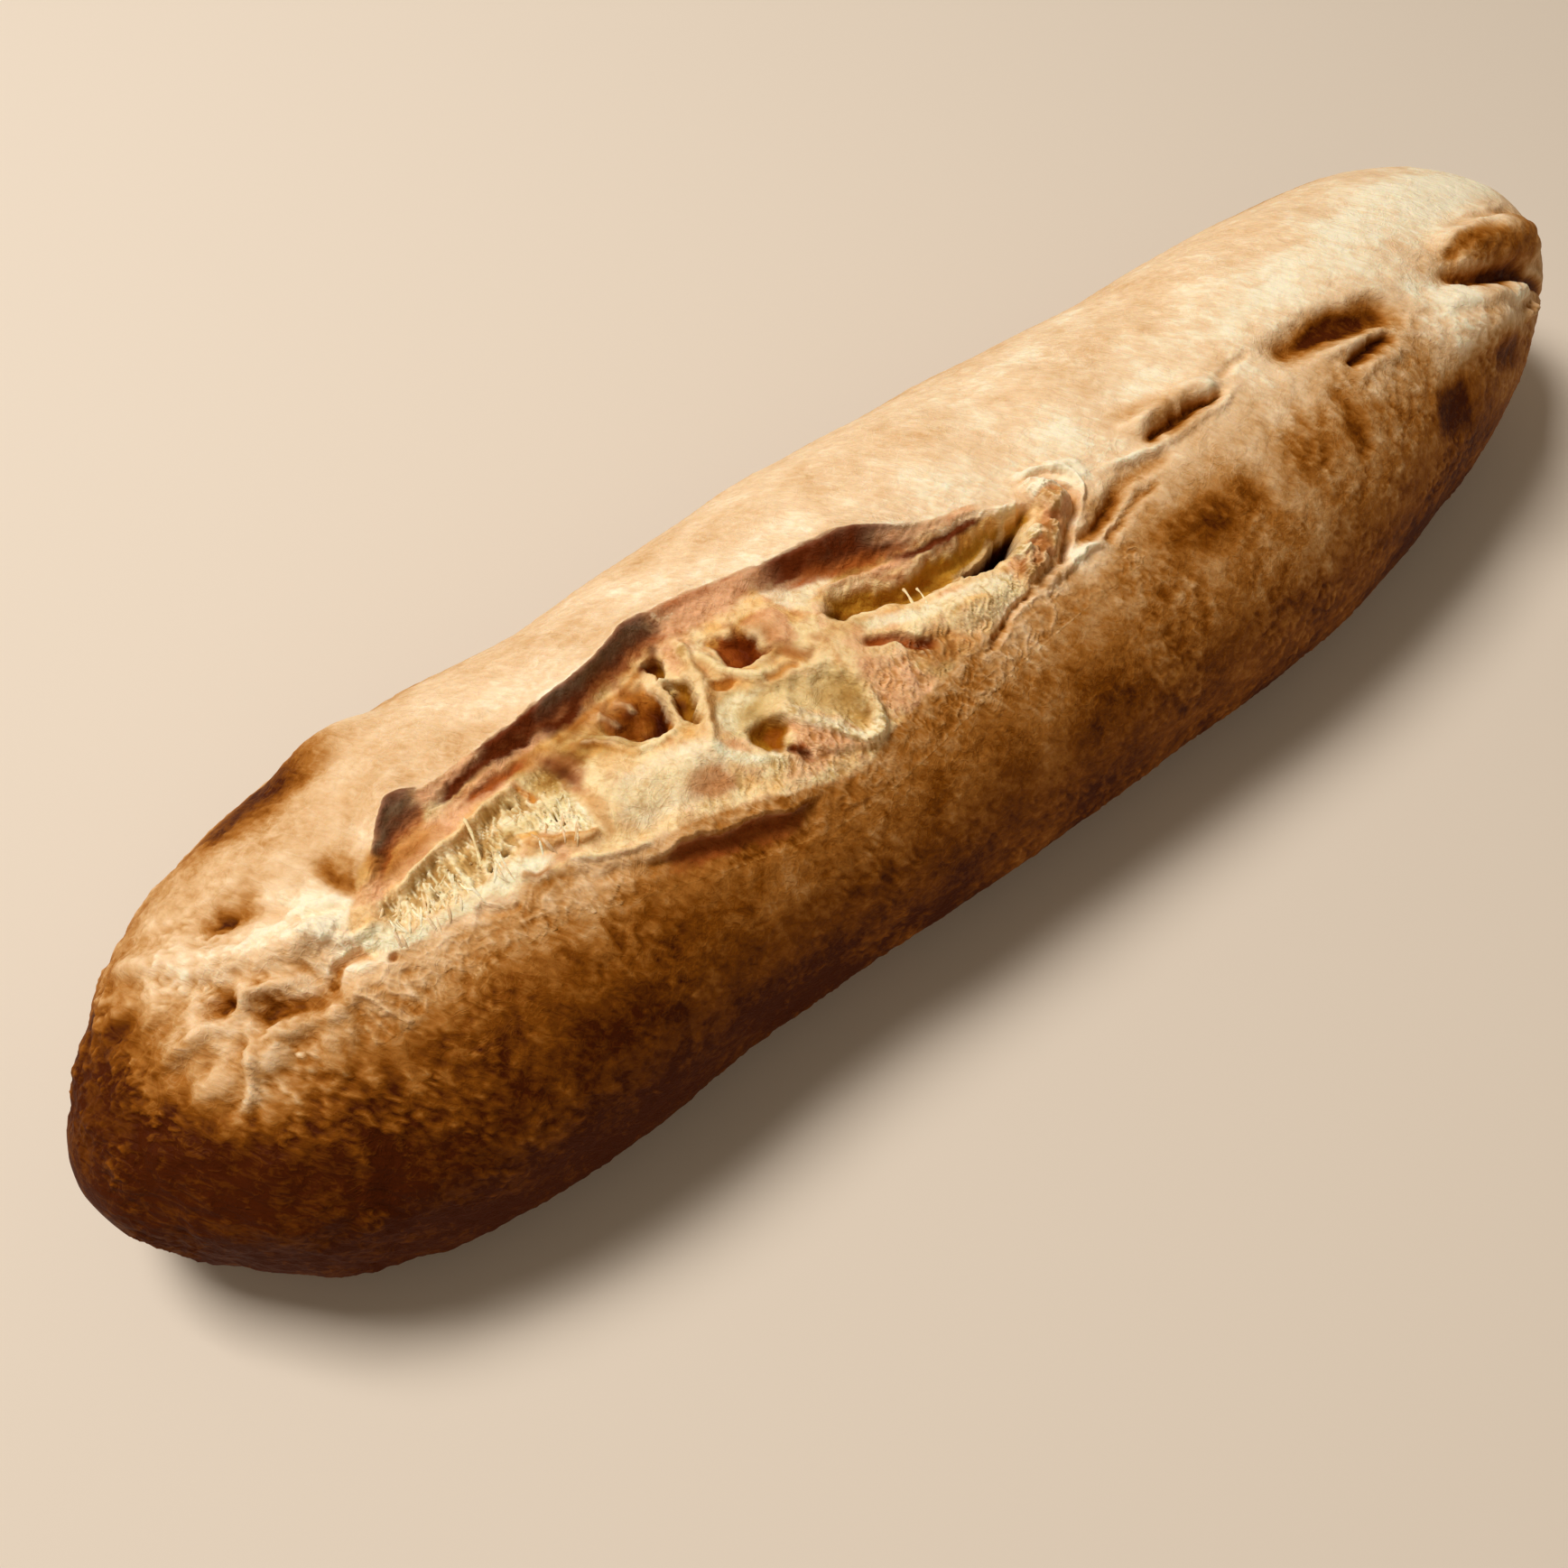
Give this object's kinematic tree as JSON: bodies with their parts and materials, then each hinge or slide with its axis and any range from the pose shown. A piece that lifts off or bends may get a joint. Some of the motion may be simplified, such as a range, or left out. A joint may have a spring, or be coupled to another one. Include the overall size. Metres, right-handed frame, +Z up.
{
  "type": "garlic bread loaf",
  "caption": "Whole rustic torpedo loaf of garlic bread with a burst top seam, dark ear ridges, open crumb pockets and a browned crust, to lie on a board or table.",
  "frame": {"origin": "middle of the loaf's bounding box, on the plane it rests on", "axes": "+X along the loaf from the rounded near end to the knobbed far end, +Z up; the burst seam lies on top, its ear ridge towards +Y"},
  "size_m": [0.3, 0.078, 0.0541],
  "materials": {
    "crust": "matte baked crust, floury behind, browned in front"
  },
  "bodies": {
    "root": {"loaf": "crust"}
  },
  "joints": []
}
